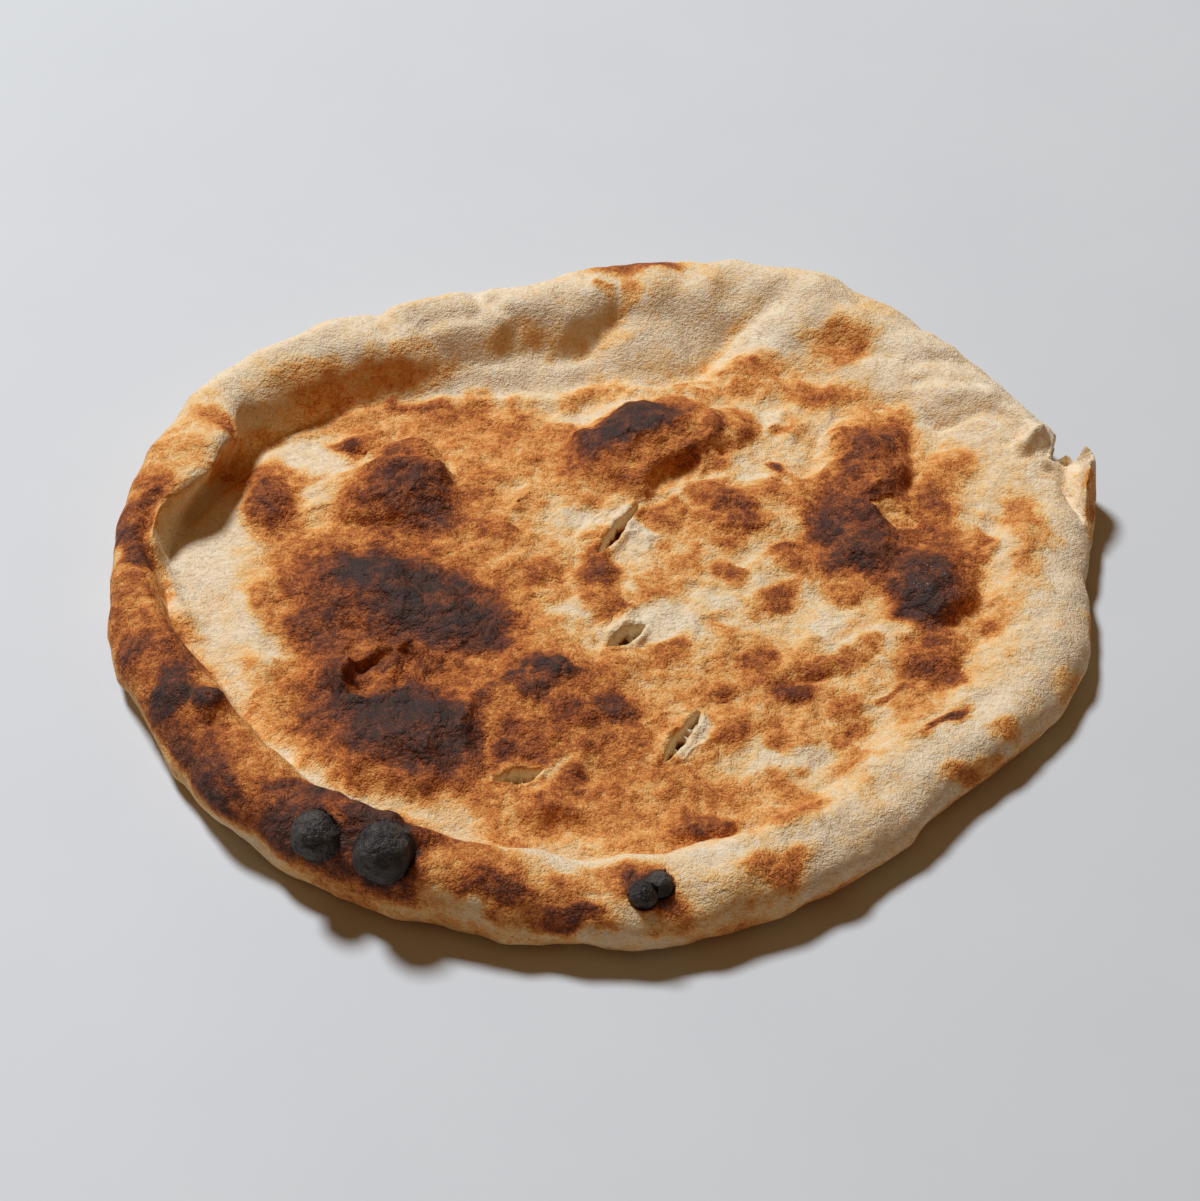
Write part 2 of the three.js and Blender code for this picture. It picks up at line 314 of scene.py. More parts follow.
# Bubbles that step down sharply on one side: the bubble, the path of the step with the bubble on its left, and
# how wide the step is.
BROKEN_BUBBLES = [
    (
        (0.07, 0.38, 58, 46, 35, 9.5),
        [
            (0.052, 0.17), (0.069, 0.247), (0.088, 0.283), (0.144, 0.319),
            (0.211, 0.373), (0.225, 0.447), (0.20, 0.54),
        ],
        2.6,
    ),
    (
        (-0.445, 0.28, 46, 44, 10, 8.0),
        [(-0.33, 0.22), (-0.36, 0.346), (-0.396, 0.40), (-0.45, 0.39), (-0.50, 0.345), (-0.56, 0.29)],
        2.0,
    ),
    (
        (0.525, 0.30, 56, 32, 86, 6.5),
        [
            (0.59, 0.19), (0.612, 0.31), (0.612, 0.431), (0.585, 0.49),
            (0.53, 0.50), (0.468, 0.465), (0.437, 0.38),
        ],
        2.2,
    ),
    ((0.65, -0.05, 40, 27, 80, 7.0), [(0.63, -0.19), (0.704, -0.13), (0.735, -0.031), (0.715, 0.09)], 3.0),
    ((-0.40, -0.50, 60, 46, -23, 6.0), [(-0.26, -0.63), (-0.27, -0.50), (-0.25, -0.36)], 5.0),
]

# Wide golden places under the darker ones: east, north, long, wide, turn, depth of bake as below.
GOLDEN_TOP = [
    (-0.13, -0.46, 76, 54, -15, 0.58), (-0.02, -0.66, 96, 40, -6, 0.52), (-0.26, -0.05, 60, 84, 10, 0.47),
    (-0.62, 0.03, 40, 30, -60, 0.46), (0.22, -0.40, 80, 40, 10, 0.45), (-0.20, 0.36, 60, 30, 10, 0.46),
    (-0.42, -0.30, 84, 76, 0, 0.61), (0.12, -0.28, 50, 24, 10, 0.45), (-0.38, 0.47, 92, 26, -8, 0.52),
]

# Toasting: east, north, long, wide, turn, depth of bake from 0 (dough) to 1 (charcoal).
TOASTED_TOP = [
    (0.04, 0.36, 62, 38, 26, 0.60), (0.04, 0.41, 44, 22, 33, 0.97), (0.14, 0.50, 24, 12, -8, 0.70),
    (0.19, 0.33, 24, 12, 30, 0.72), (0.26, 0.42, 28, 14, 68, 0.70),
    (0.53, 0.30, 56, 28, 81, 0.71), (0.54, 0.36, 24, 13, 70, 0.86), (0.50, 0.09, 54, 33, -60, 0.76),
    (0.47, 0.07, 30, 17, -60, 0.88), (0.52, 0.14, 22, 12, 70, 0.86), (0.505, 0.015, 17, 12, -30, 0.97),
    (0.56, 0.0, 22, 16, -37, 0.84), (0.60, 0.38, 38, 9, -89, 0.66), (0.63, 0.09, 32, 19, -50, 0.68),
    (0.65, -0.06, 56, 29, 83, 0.70), (0.62, -0.10, 30, 16, 79, 0.98), (0.64, 0.15, 36, 22, 80, 0.66),
    (-0.41, 0.22, 48, 40, -17, 0.70), (-0.39, 0.19, 32, 20, -32, 0.85), (-0.44, 0.32, 18, 12, 60, 0.78),
    (-0.51, 0.39, 22, 6, -7, 0.76), (-0.69, 0.22, 36, 18, -75, 0.70),
    (-0.45, -0.09, 80, 44, -25, 0.78), (-0.48, -0.02, 36, 19, -19, 1.0), (-0.36, -0.15, 46, 28, -25, 0.98),
    (-0.59, -0.19, 24, 14, -43, 0.82), (-0.66, -0.15, 26, 9, -67, 0.60),
    (-0.53, -0.34, 30, 14, -63, 0.84), (-0.36, -0.30, 22, 12, 60, 0.80), (-0.32, -0.31, 28, 16, -39, 0.62),
    (-0.40, -0.48, 66, 42, -23, 0.76), (-0.40, -0.47, 52, 30, -25, 0.97), (-0.38, -0.56, 28, 15, -45, 0.90),
    (-0.42, -0.62, 32, 9, -14, 0.62),
    (-0.10, -0.335, 14, 9, 0, 1.04), (-0.11, -0.34, 26, 17, 0, 0.76), (-0.16, -0.375, 14, 8, -15, 0.92),
    (0.0, -0.44, 17, 11, -54, 0.90),
    (-0.18, -0.50, 30, 16, -30, 0.70), (-0.07, -0.44, 24, 11, -34, 0.76), (-0.24, -0.56, 22, 10, 57, 0.82),
    (-0.24, -0.39, 9, 7, -76, 0.80), (-0.07, -0.60, 12, 10, -69, 0.76), (-0.12, -0.51, 22, 10, -17, 0.72),
    (-0.14, -0.71, 42, 15, -10, 0.58),
    (0.26, 0.18, 24, 18, -60, 0.72), (0.10, 0.15, 17, 15, -42, 0.68), (0.20, 0.22, 14, 13, -26, 0.62),
    (0.34, 0.31, 8, 6, -65, 0.90), (-0.14, -0.03, 15, 13, -33, 0.70), (-0.21, -0.06, 14, 12, -29, 0.64),
    (-0.02, -0.02, 19, 13, -74, 0.74), (0.0, -0.14, 13, 12, -35, 0.68), (-0.24, 0.10, 17, 14, -43, 0.70),
    (0.36, 0.02, 14, 12, -24, 0.68), (0.25, -0.04, 11, 9, -53, 0.66), (0.32, -0.11, 16, 9, 50, 0.68),
    (0.47, -0.10, 13, 12, -34, 0.62), (-0.26, 0.30, 22, 9, -50, 0.60), (-0.33, 0.10, 14, 10, 20, 0.6),
    (0.10, -0.26, 14, 9, 35, 0.66), (0.29, -0.30, 13, 12, -18, 0.72), (0.36, -0.39, 13, 9, 28, 0.85),
    (0.41, -0.32, 24, 6, 26, 0.68), (0.63, -0.31, 20, 13, 24, 0.76), (0.50, -0.26, 13, 7, 34, 0.64),
    (0.23, -0.49, 12, 11, -35, 0.66), (0.31, -0.50, 14, 9, -64, 0.66), (0.45, -0.49, 17, 6, 38, 0.68),
    (0.46, -0.58, 15, 6, 38, 0.60), (0.25, -0.37, 30, 5, 7, 0.66), (0.15, -0.74, 19, 10, 26, 0.76),
    (0.20, -0.76, 10, 6, 23, 0.72), (0.32, -0.64, 13, 11, -18, 0.56), (0.35, -0.70, 18, 9, 15, 0.50),
    (0.73, -0.18, 17, 8, -78, 0.58), (0.71, 0.32, 18, 14, -42, 0.52), (0.76, 0.05, 13, 5, -81, 0.70),
    (0.82, 0.13, 30, 14, -76, 0.50), (0.82, -0.02, 22, 12, -80, 0.42), (0.53, -0.39, 14, 4, 17, 0.70),
    (0.57, -0.45, 12, 5, -34, 0.52), (0.12, -0.62, 20, 13, 10, 0.55), (0.02, -0.66, 15, 10, 40, 0.6),
    (0.50, 0.70, 24, 18, -17, 0.50), (0.44, 0.57, 28, 12, -9, 0.60), (0.36, 0.60, 14, 8, -60, 0.54),
    (0.31, 0.64, 10, 7, -53, 0.46), (-0.676, -0.365, 34, 8, 78, 0.52), (-0.624, -0.396, 8, 5, 20, 0.5),
    (-0.644, -0.442, 12, 7, 40, 0.50), (-0.61, -0.43, 8, 6, 0, 0.46), (-0.565, -0.542, 9, 6, 30, 0.5),
    (-0.32, 0.51, 48, 16, -14, 0.58), (-0.38, 0.54, 26, 5, -9, 0.72), (-0.06, 0.22, 18, 10, 10, 0.5),
]

# Toasting on the rim, in the same columns as above; six of these marks are painted shade.
TOASTED_AND_SHADED_RIM = [
    (-0.955, 0.10, 56, 16, 86, 0.60), (-0.965, 0.07, 40, 7, 86, 0.78), (-0.955, -0.02, 22, 8, -75, 0.88),
    (-0.93, -0.15, 30, 16, -75, 0.62), (-0.94, 0.30, 30, 14, 75, 0.42),
    (-0.89, -0.29, 58, 32, -52, 0.60), (-0.885, -0.31, 24, 11, -30, 0.80), (-0.84, -0.285, 20, 9, -60, 0.78),
    (-0.852, -0.445, 27, 15, 70, 0.99), (-0.763, -0.47, 18, 13, -55, 1.0),
    (-0.80, -0.52, 46, 32, -50, 0.62), (-0.735, -0.66, 44, 17, -50, 0.88), (-0.74, -0.64, 62, 36, -48, 0.60),
    (-0.64, -0.78, 34, 14, -45, 0.78), (-0.60, -0.79, 60, 34, -35, 0.60),
    (-0.50, -0.745, 48, 13, -3, 0.84), (-0.46, -0.83, 62, 34, -15, 0.64), (-0.40, -0.78, 22, 14, -20, 0.80),
    (-0.35, -0.805, 18, 11, 25, 0.90), (-0.28, -0.88, 30, 18, 10, 0.60),
    (-0.16, -0.93, 52, 20, -8, 0.52), (-0.19, -0.95, 16, 8, -4, 0.84), (-0.24, -0.96, 13, 6, -16, 0.66),
    (-0.07, -0.98, 24, 6, 0, 0.84), (0.0, -0.93, 32, 13, 0, 0.50), (0.29, -0.89, 21, 12, 19, 0.62),
    (0.07, -0.94, 26, 15, -40, 0.72), (0.065, -0.945, 15, 10, -40, 0.98), (0.20, -0.93, 40, 16, 11, 0.34),
    (-0.16, -0.80, 9, 4, -31, 0.86), (-0.416, -0.80, 20, 12, -10, 1.02), (-0.365, -0.797, 14, 8, 20, 1.0),
    (-0.463, -0.735, 30, 9, -10, 0.90), (-0.575, -0.71, 22, 8, -20, 0.90), (-0.60, -0.80, 14, 12, -60, 0.92),
    (-0.415, -0.88, 26, 22, -10, 0.90), (-0.54, -0.83, 22, 19, -40, 0.88), (-0.62, -0.64, 16, 10, -40, 0.56),
    (-0.74, -0.48, 10, 7, 0, 0.62), (-0.80, -0.40, 12, 8, 50, 0.64), (-0.47, -0.86, 12, 9, 0, 0.62),
    (0.67, -0.60, 26, 7, 24, 0.55), (0.73, -0.49, 14, 6, 32, 0.5), (0.95, -0.18, 24, 6, -87, 0.55),
    (0.65, -0.47, 19, 5, 47, 0.85), (0.88, -0.36, 16, 6, 60, 0.45),
    (-0.74, 0.68, 22, 6, 30, 0.66), (-0.64, 0.76, 18, 6, 21, 0.70), (0.05, 0.945, 34, 13, 8, 0.76),
    (-0.028, 0.86, 7, 6, -15, 0.56), (0.042, 0.855, 10, 8, -38, 0.5), (-0.88, 0.43, 34, 20, 60, 0.30),
    (0.985, 0.19, 26, 5, 84, 0.52), (0.99, 0.26, 14, 5, 84, 0.44),
    # Painted shade, not toast: the six marks on the next two lines darken the foot of the shaded inner wall at
    # the back left and the creases at the back.
    (-0.57, 0.59, 56, 8, 24, 0.42), (-0.43, 0.62, 40, 9, 10, 0.38), (-0.72, 0.43, 36, 8, 42, 0.42),
    (-0.10, 0.70, 50, 7, 6, 0.34), (0.22, 0.72, 36, 6, 50, 0.36), (0.02, 0.80, 20, 6, 70, 0.36),
    (-0.852, 0.385, 17, 11, -60, 0.66), (-0.835, 0.30, 26, 6, 38, 0.52), (-0.91, -0.06, 18, 6, -70, 0.5),
]

NARROW = 16  # a narrower mark on the top blistered up a little, and baked a little less
MARK_RISE = 0.13  # of its width times its depth of bake

# Where the dough stayed pale: east, north, long, wide, turn.
PALE_TOP = [
    (-0.01, 0.15, 34, 12, -10), (0.06, 0.08, 12, 10, 60), (0.10, -0.15, 38, 13, 25), (0.14, -0.20, 22, 12, -20),
    (0.165, -0.505, 17, 8, 62), (-0.16, -0.59, 30, 8, 15), (-0.07, -0.13, 16, 7, 20), (0.42, -0.20, 12, 8, 0),
    (-0.62, 0.36, 24, 12, -30), (-0.58, 0.25, 16, 12, 60), (0.29, 0.50, 30, 10, -15), (0.33, -0.56, 24, 10, 15),
    (0.55, -0.22, 34, 10, 20), (0.73, 0.10, 14, 8, 85), (0.02, 0.53, 44, 7, 12), (-0.28, -0.42, 36, 4, 85),
    (0.45, 0.44, 22, 7, 65), (-0.60, -0.62, 60, 12, -40), (-0.72, -0.08, 60, 16, -80), (0.30, 0.28, 9, 5, 0),
]

# Folds in the skin, as points to pass through, with the width of the fold and its height: below 0 is a crease.
FOLDS = [
    ([(-0.04, 0.53), (0.06, 0.58), (0.19, 0.58), (0.25, 0.53)], 5, 1.6),
    ([(0.49, 0.50), (0.42, 0.39), (0.39, 0.24)], 3, -1.8),
    ([(0.50, 0.46), (0.45, 0.34), (0.42, 0.19)], 3, 1.4),
    ([(0.43, 0.50), (0.36, 0.38)], 3, 1.2),
    ([(0.39, 0.51), (0.33, 0.39)], 4, -1.2),
    ([(0.52, 0.53), (0.62, 0.54), (0.68, 0.45), (0.66, 0.28)], 4, -1.4),
    ([(-0.25, 0.36), (-0.17, 0.13)], 4, 1.0),
    ([(-0.87, 0.06), (-0.79, -0.08), (-0.71, -0.21)], 2.5, -0.8),
    ([(-0.79, 0.0), (-0.69, -0.16)], 2.5, 0.8),
    ([(-0.40, 0.64), (-0.286, 0.667), (-0.178, 0.692), (-0.068, 0.717), (0.0, 0.775), (0.035, 0.86)], 9, -3.4),
    ([(0.06, 0.60), (0.117, 0.632), (0.184, 0.664), (0.24, 0.765), (0.309, 0.82), (0.444, 0.911)], 8, -3.2),
    ([(-0.30, 0.73), (-0.16, 0.77), (-0.04, 0.82), (0.0, 0.90)], 14, 2.2),
    ([(-0.02, 0.70), (0.08, 0.72), (0.17, 0.75)], 14, 2.4),
    ([(0.05, 0.86), (0.14, 0.875), (0.25, 0.86)], 14, 2.2),
    ([(-0.10, 0.64), (0.02, 0.645), (0.12, 0.66)], 5, -1.0),
    ([(0.19, 0.60), (0.32, 0.70), (0.47, 0.78), (0.56, 0.78)], 12, 2.0),
    ([(0.45, 0.74), (0.55, 0.68), (0.63, 0.66)], 6, -1.4),
    ([(0.50, 0.86), (0.60, 0.78), (0.70, 0.76)], 6, -1.4),
    ([(-0.30, 0.86), (-0.278, 0.809), (-0.22, 0.743), (-0.199, 0.70)], 6, -2.2),
    ([(-0.427, 0.698), (-0.34, 0.74), (-0.266, 0.752)], 5, -1.0),
    ([(-0.52, 0.80), (-0.47, 0.72), (-0.48, 0.66)], 6, -1.6),
    ([(0.61, 0.62), (0.72, 0.65), (0.81, 0.59)], 5, -1.3),
    ([(0.70, 0.70), (0.80, 0.66), (0.88, 0.56)], 7, 1.5),
    ([(0.78, 0.58), (0.85, 0.55), (0.90, 0.46)], 3, -1.4),
    ([(0.64, 0.47), (0.70, 0.45), (0.78, 0.47), (0.83, 0.44), (0.86, 0.38)], 4, -1.8),
    ([(0.66, 0.52), (0.74, 0.52), (0.82, 0.50)], 9, 1.8),
    ([(0.60, 0.58), (0.70, 0.57), (0.78, 0.55)], 5, -1.2),
    ([(0.83, 0.34), (0.87, 0.36), (0.90, 0.40)], 4, 1.8),
    ([(0.80, 0.36), (0.84, 0.38), (0.86, 0.43)], 3, -1.5),
    ([(-0.26, -0.34), (-0.29, -0.53)], 5, 1.2),
    ([(-0.57, 0.40), (-0.52, 0.385), (-0.45, 0.36)], 1.8, -2.4),
    ([(-0.56, 0.43), (-0.48, 0.40), (-0.40, 0.40)], 3, 1.0),
    ([(-0.40, 0.42), (-0.36, 0.36), (-0.34, 0.28)], 2.2, 1.4),
    ([(-0.54, 0.20), (-0.48, 0.15)], 1.8, -1.6),
    ([(-0.57, 0.24), (-0.59, 0.13)], 1.8, -1.2),
    ([(0.17, -0.38), (0.28, -0.37), (0.36, -0.31), (0.46, -0.29)], 5, 1.5),
    ([(0.17, -0.41), (0.28, -0.40), (0.37, -0.345), (0.46, -0.32)], 3, -0.8),
    ([(0.49, -0.41), (0.56, -0.38), (0.61, -0.40)], 3, 1.2),
    ([(-0.21, -0.80), (-0.02, -0.83), (0.16, -0.79), (0.29, -0.745), (0.42, -0.70)], 3, -1.3),
    ([(-0.21, -0.76), (-0.02, -0.79), (0.16, -0.75), (0.27, -0.71)], 6, 1.0),
    ([(0.31, -0.79), (0.33, -0.90)], 3, -0.9),
    ([(0.89, 0.30), (0.935, 0.22), (0.955, 0.12)], 3, -2.4),
    ([(0.06, 0.61), (-0.11, 0.57), (-0.32, 0.57), (-0.47, 0.55), (-0.59, 0.47)], 6, 1.3),
    ([(-0.69, 0.04), (-0.70, -0.15), (-0.68, -0.35), (-0.61, -0.51), (-0.50, -0.63)], 7, 1.6),
    ([(-0.91, 0.20), (-0.905, 0.02), (-0.87, -0.10), (-0.83, -0.19)], 4, 3.0),
    ([(-0.935, 0.20), (-0.93, 0.02), (-0.90, -0.08)], 3, -2.0),
    ([(-0.76, -0.53), (-0.70, -0.55)], 3, -2.0),
    ([(-0.38, 0.02), (-0.30, -0.06), (-0.22, -0.10)], 5, 0.8),
    ([(-0.50, -0.55), (-0.40, -0.62), (-0.30, -0.63)], 5, 1.0),
    ([(-0.36, -0.38), (-0.33, -0.50), (-0.36, -0.60)], 4, 0.8),
]

# Where grease left the crust wet: east, north, long, wide, turn.
WET_PLACES = [(0.82, 0.05, 50, 24, -82), (0.62, -0.07, 22, 12, 80)]

# Slits cut by the docker: east, north, length, turn, gape, and where threads of crumb still cross them.
SLITS = [
    (0.013, 0.104, 26, 62, 3.6, ()),
    (0.028, -0.223, 14, 38, 4.2, (-0.45, 0.3)),
    (0.132, -0.507, 22, 61, 3.8, (-0.35, 0.1, 0.4)),
    (-0.176, -0.602, 15, 20, 5.0, (-0.25, 0.15)),
]
SLIT_DEPTH = 7.0

BLISTER_WRAP = math.radians(100)  # how far round from its top a ball's skin reaches
BLISTER_FOOT = 1.2  # radius of the skin drawn up into a ball, in radii of the ball
BLISTER_SKIRT = 1.6  # radius of the skin drawn in round it, in feet
BLISTER_SINK = 0.06  # how far a ball's middle is under the rim's skin, in radii

# Round charred blisters on the rim: east, north, diameter, how far out and down it leans.
BLISTERS = [
    (-0.538, -0.828, 13.2, 0.70),
    (-0.410, -0.880, 16.4, 0.80),
    (0.084, -0.935, 8.0, 0.5),
    (0.050, -0.962, 7.5, 0.9),
]

# Knobs and lumps on the rim: east, north, long, wide, turn, rise.
KNOBS = [
    (-0.76, -0.475, 19, 16, -40, 5.0),
    (-0.84, -0.43, 20, 14, 60, 2.5),
    (-0.46, -0.78, 44, 16, -5, 3.5),
    (-0.34, -0.84, 18, 15, 20, 4.0),
    (-0.41, -0.80, 10, 10, 0, 2.5),
    (0.862, 0.37, 17, 12, 20, 4.0),
    (-0.89, -0.2, 40, 22, -60, 2.0),
    (-0.36, 0.82, 44, 26, 14, 2.0),
    (0.45, 0.90, 50, 26, -15, 2.0),
    (0.75, 0.72, 44, 22, -45, 2.0),
    (-0.70, 0.64, 60, 22, 40, 1.5),
]

# The curled fold at the back left, in degrees round the bread, and the pocket under it.
CURL_BEGINS = (148, 156)
CURL_ENDS = (165, 172)
CURL_REACH = 9.5
CURL_RISE = 3.2
CURL_POCKET = (-0.825, 0.365, 19, 10, -62)

# The burst blister, and the ridge of crumb across it.
PIT = (-0.445, -0.325, 28, 18, 50)
PIT_RIDGE = [(-0.412, -0.23), (-0.430, -0.32), (-0.455, -0.41)]
PIT_DEPTH = 2.9
RIDGE_RISE = 2.6
BRIM_RISE = 0.9

# The chip missing from the long bubble: its place, turn, half sizes and depth.
CHIP_PLACE = (0.574, 0.152)
CHIP_TURN = 24
CHIP_HALF = (4.4, 6.4)
CHIP_DEPTH = 0.9

# The lip of crust torn free at the right, from its foot to its tip, and the tear beside it.
LIP_FOOT = (0.952, 0.09)
LIP_TIP = (0.972, 0.335)
LIP_RISE = 9.5
LIP_LEAN = 3.2
LIP_GROOVE = 3.6
TEAR_ROOT = (0.905, 0.315)
TEAR_TURN = math.radians(64)
TEAR_HALF_WIDTH = 1.2  # at its root
TEAR_SPREAD = 0.16  # how much each side widens on the way out

# Places where the skin is split once more: east, north, reach. They are the chip, the lip and tear, the step
# of the middle bubble, the burst blister and the curled fold.
FINE_PLACES = [
    (0.548, 0.15, 11), (0.94, 0.25, 22), (0.13, 0.31, 17), (-0.46, -0.30, 18), (-0.81, 0.32, 20),
]
FINE_ABOVE = 3.0  # nothing lower than this is split


def place(east, north):
    return PLACE_MIDDLE + PLACE_UNIT * (east, north)


def stray(points):
    """How far the edge of a patch strays sideways, so that no bubble or toasted spot is a clean oval."""
    x = swell(points, 13, 11) * 3.4 + swell(points, 5, 13) * 1.7
    y = swell(points, 13, 12) * 3.4 + swell(points, 5, 14) * 1.7
    return np.c_[x, y, x * 0]


def along_across(offset, turn):
    """Offsets in plan, as distances along a direction and to its left."""
    c, s = math.cos(math.radians(turn)), math.sin(math.radians(turn))
    return offset[:, 0] * c + offset[:, 1] * s, -offset[:, 0] * s + offset[:, 1] * c


def patch_share(clay, east, north, long, wide, turn, ragged=True):
    """0 at the middle of an oval patch and 1 on its edge."""
    middle = np.append(place(east, north), PLATE_HEIGHT)[None]
    offset = clay.loose - middle - stray(middle) if ragged else clay.home - middle
    along, across = along_across(offset, turn)
    return np.hypot(along / (long / 2), across / (wide / 2))


def path_distance(points, path):
    """Distance in plan from a path, positive on its left, and the share of the way along it, 0 to 1."""
    knots = np.array([place(*p) for p in path])
    best, where, side = np.full(len(points), 1e9), np.zeros(len(points)), np.ones(len(points))
    for k, (a, b) in enumerate(zip(knots, knots[1:])):
        run, offset = b - a, points[:, :2] - a
        t = np.clip((offset @ run) / (run @ run), 0, 1)
        gap = np.hypot(*(offset - t[:, None] * run).T)
        closer = gap < best
        best = np.where(closer, gap, best)
        where = np.where(closer, (k + t) / (len(knots) - 1), where)
        side = np.where(closer, np.sign(run[0] * offset[:, 1] - run[1] * offset[:, 0]), side)
    return best * side, where


def way_out(home):
    """For places in plan: the angle round the bread, the share of the way out, and the distance in."""
    angle = np.arctan2(home[:, 1] / HALF_Y, home[:, 0] / HALF_X) % (2 * np.pi)
    for _ in range(4):
        edge = edge_point(angle)
        turn = np.arctan2(home[:, 1], home[:, 0]) - np.arctan2(edge[:, 1], edge[:, 0])
        angle = (angle + (turn + np.pi) % (2 * np.pi) - np.pi) % (2 * np.pi)
    reach, away = np.hypot(*edge_point(angle).T), np.hypot(*home[:, :2].T)
    return angle, away / reach, reach - away


# ------------------------------------------------------------------ sculpting


class Clay:
    """The skin while it is sculpted.

    home is where each point began and place is where it is now. upper is 1 off the underside, plate is 1 on the
    browned plate inside the roll, and small and tiny are blisters scattered over it all.
    """

    def __init__(self, home, normal):
        self.home, self.normal = home, normal
        self.place = home.copy()
        self.upper = smooth(-0.15, 0.35, normal[:, 2])
        self.loose = home + stray(home)
        self.angle, out, self.inset = way_out(home)
        wavy = 0.03 * swell(home, 14, 1) + 0.015 * swell(home, 6, 2)
        limit = ring_value(BROWN_REACH, self.angle) + wavy
        self.plate = smooth(0.045, -0.045, out - limit) * self.upper
        self.small = pimples(self.loose, 15, 53)
        self.tiny = pimples(self.loose, 7.5, 61)

    def strayed(self, share):
        """Where each point began, moved a share of the way to where its patch strays."""
        return self.home + share * (self.loose - self.home)

    def lift(self, amount):
        self.place[:, 2] += amount * self.upper

    def swell_out(self, amount):
        self.place += self.normal * amount[:, None]


def raise_bubbles(clay, bubbles):
    for east, north, long, wide, turn, rise in bubbles:
        share = patch_share(clay, east, north, long, wide, turn)
        clay.lift(rise * dome(share, 1.4))


def raise_broken_bubbles(clay):
    """Bubbles with one steep side: the skin steps down along a path, on the path's right."""
    for (east, north, long, wide, turn, rise), path, steepness in BROKEN_BUBBLES:
        gap, where = path_distance(clay.strayed(0.3), path)
        step = towards(1, smooth(-steepness, steepness * 0.6, gap), between_ends(where, 0.02))
        share = patch_share(clay, east, north, long, wide, turn)
        clay.lift(rise * dome(share, 1.1) * (0.10 + 0.90 * step))
        brow, trough = bell(gap - 1.5, 2.2), bell(gap + steepness + 1, 2.5)
        clay.lift(0.08 * rise * (brow - trough) * between_ends(where, 0.15))


def fold_skin(clay):
    for path, width, height in FOLDS:
        gap, where = path_distance(clay.strayed(0.45), path)
        clay.lift(height * bell(gap, width / 2) * between_ends(where, 0.18))


def curl_fold(clay):
    """At the back left the end of the plump roll curls over inwards like a lip and hangs above the crumb."""
    roll = ring_value(ROLL, clay.angle)
    across = (clay.inset - roll * CREST_INSET) / (roll * (1 - CREST_INSET))
    clock = np.degrees(clay.angle)
    along = smooth(*CURL_BEGINS, clock) * (1 - smooth(*CURL_ENDS, clock))
    brow = smooth(-0.4, 0.30, across) * smooth(0.85, 0.42, across) * clay.upper
    push = along * brow * (1 + 0.15 * swell(clay.home, 9, 23))
    inward = -clay.home * (1, 1, 0)
    inward /= np.maximum(np.linalg.norm(inward, axis=1), 1)[:, None]
    clay.place += inward * (CURL_REACH * push)[:, None]
    clay.lift(CURL_RISE * push)
    clay.lift(-2.5 * bell(across - 0.9, 0.25) * along * clay.upper)
    pocket = patch_share(clay, *CURL_POCKET, False)
    clay.lift(-3.5 * dome(pocket, 1.5))


def cut_slits(clay):
    """Opens the docking slits and returns how deep inside one each point is, from 0 to 1."""
    inside = np.zeros(len(clay.home))
    for east, north, length, turn, gape, threads in SLITS:
        along, across = along_across(clay.home[:, :2] - place(east, north), turn)
        u = along / (length / 2)
        half = gape / 2 * np.clip(1 - u * u, 0, 1) ** 0.8 * (1 + 0.25 * swell(clay.home, 3, 21))
        open_by = half - abs(across)
        depth = smooth(-0.3, 0.9, open_by) * (abs(u) < 1)
        wander = 0.05 * swell(clay.home, 2, 22)
        thread = sum(bell((u - at - wander) * length / 2, 0.9) for at in threads)
        clay.lift(1.1 * bell(open_by + 1.3, math.sqrt(2)) * smooth(1.25, 0.9, abs(u)))
        depth = depth * (1 - 0.75 * np.clip(thread, 0, 1)) * (0.75 + 0.25 * smooth(1, 0.5, abs(u)))
        clay.lift(-SLIT_DEPTH * depth)
        inside = np.maximum(inside, depth * clay.upper)
    return inside


def tear_blister(clay):
    """A blister that burst while baking: a sunken pit with sharp walls and a ridge of crumb across it."""
    share = patch_share(clay, *PIT, False)
    share = share + 0.12 * swell(clay.home, 5, 24)
    pit = smooth(1.0, 0.78, share)
    gap, _ = path_distance(clay.home, PIT_RIDGE)
    ridge = bell(gap, 2.2) * smooth(1.05, 0.8, share)
    clay.lift(-PIT_DEPTH * pit + RIDGE_RISE * ridge + BRIM_RISE * bell(share - 1.08, 0.10))
    return pit * (1 - 0.5 * ridge) * clay.upper


def peel_flake(clay):
    """A chip of crust has come off the long bubble and shows the paler crumb."""
    along, across = along_across(clay.home[:, :2] - place(*CHIP_PLACE), CHIP_TURN)
    half_long, half_wide = CHIP_HALF
    chip = np.maximum(abs(along + 0.25 * across) / half_long, abs(across - 0.12 * along) / half_wide)
    bare = smooth(1.06, 0.94, chip + 0.10 * swell(clay.home, 4, 31))
    clay.lift(-CHIP_DEPTH * bare)
    return bare * clay.upper


